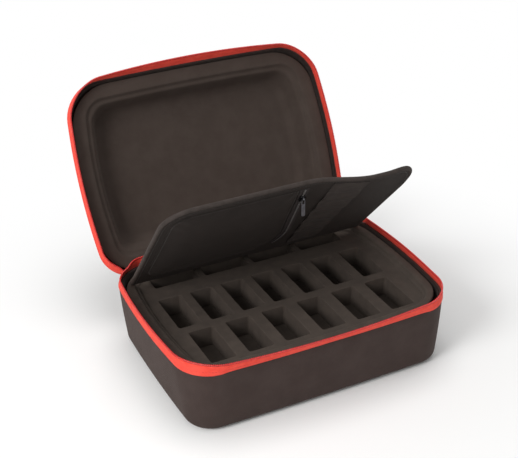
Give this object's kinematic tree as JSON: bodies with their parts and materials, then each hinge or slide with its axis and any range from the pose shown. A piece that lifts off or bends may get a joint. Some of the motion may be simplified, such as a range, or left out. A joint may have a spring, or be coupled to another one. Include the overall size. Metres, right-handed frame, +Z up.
{
  "type": "sewing accessory case",
  "caption": "Soft-sided zip case for sewing tools, open, with a foam pocket tray, a moulded lid lining and a padded flap with a zip pocket and elastic loops.",
  "frame": {"origin": "centre of the foot, on the surface the case stands on", "axes": "+Z up, +Y towards the hinge at the back, +X to the right seen from the front"},
  "size_m": [0.3462, 0.3959, 0.282],
  "materials": {
    "shell_fabric": "dark brown woven laminate over a moulded foam shell",
    "red_binding": "woven binding tape",
    "red_tape": "woven polyester zip tape",
    "red_coil": "nylon coil",
    "lining_fabric": "brushed knit over moulded foam",
    "tray_foam": "matt closed-cell foam",
    "flap_fabric": "matt woven fabric over padding",
    "flap_piping": "rolled fabric edge",
    "grey_tape": "woven polyester zip tape",
    "grey_coil": "nylon coil",
    "slider_metal": "gun-metal lacquer on die-cast zinc",
    "elastic": "ribbed woven elastic"
  },
  "bodies": {
    "base": {"base_shell": "shell_fabric", "base_binding": "red_binding", "base_zip_tape": "red_tape", "base_zip_coil": "red_coil", "insert_bed": "tray_foam", "insert_frame": "tray_foam", "front_pocket_row": "tray_foam", "middle_pocket_row": "tray_foam", "rear_pocket_row": "tray_foam", "flap_hinge_strip": "flap_fabric", "zip_slider_left": "slider_metal", "zip_slider_right": "slider_metal"},
    "strip": {"hinge_strip": "red_tape"},
    "lid": {"lid_shell": "shell_fabric", "lid_binding": "red_binding", "lid_zip_tape": "red_tape", "lid_zip_coil": "red_coil", "lid_lining": "lining_fabric"},
    "flap": {"flap_board": "flap_fabric", "flap_binding": "flap_piping", "flap_pocket_panel": "flap_fabric", "flap_zip_tape": "grey_tape", "flap_zip_coil": "grey_coil", "elastic_band": "elastic"},
    "flap_zip_slider": {"flap_slider": "slider_metal"},
    "flap_zip_pull": {"flap_pull": "slider_metal"},
    "left_pull": {"zip_pull_left": "slider_metal"},
    "right_pull": {"zip_pull_right": "slider_metal"}
  },
  "joints": [
    {"name": "strip_hinge", "type": "hinge", "parent": "base", "child": "strip", "pos_m": [0, 0.117, 0.081], "axis": [1, 0, 0], "range_deg": [0, 145]},
    {"name": "lid_hinge", "type": "hinge", "parent": "strip", "child": "lid", "pos_m": [0, 0.13077, 0.06134], "axis": [1, 0, 0], "range_deg": [-27, 0]},
    {"name": "flap_hinge", "type": "hinge", "parent": "base", "child": "flap", "pos_m": [0, 0.08, 0.0818], "axis": [1, 0, 0], "range_deg": [0, 50.5]},
    {"name": "flap_zip_slide", "type": "slide", "parent": "flap", "child": "flap_zip_slider", "axis": [0.1405, 0.6298, -0.764], "range_m": [0, 0.088]},
    {"name": "flap_pull_swing", "type": "hinge", "parent": "flap_zip_slider", "child": "flap_zip_pull", "pos_m": [0.01638, -0.02447, 0.20044], "axis": [1, 0, 0], "range_deg": [-50, 38]},
    {"name": "left_pull_swing", "type": "hinge", "parent": "base", "child": "left_pull", "pos_m": [-0.107, 0.12015, 0.0916], "axis": [1, 0, 0], "range_deg": [0, 90]},
    {"name": "right_pull_swing", "type": "hinge", "parent": "base", "child": "right_pull", "pos_m": [0.107, 0.12015, 0.0916], "axis": [1, 0, 0], "range_deg": [0, 90]}
  ],
  "couplings": [
    {"joint": "lid_hinge", "follows": "strip_hinge", "ratio": -0.18621},
    {"joint": "flap_hinge", "follows": "strip_hinge", "ratio": 0.34828}
  ]
}
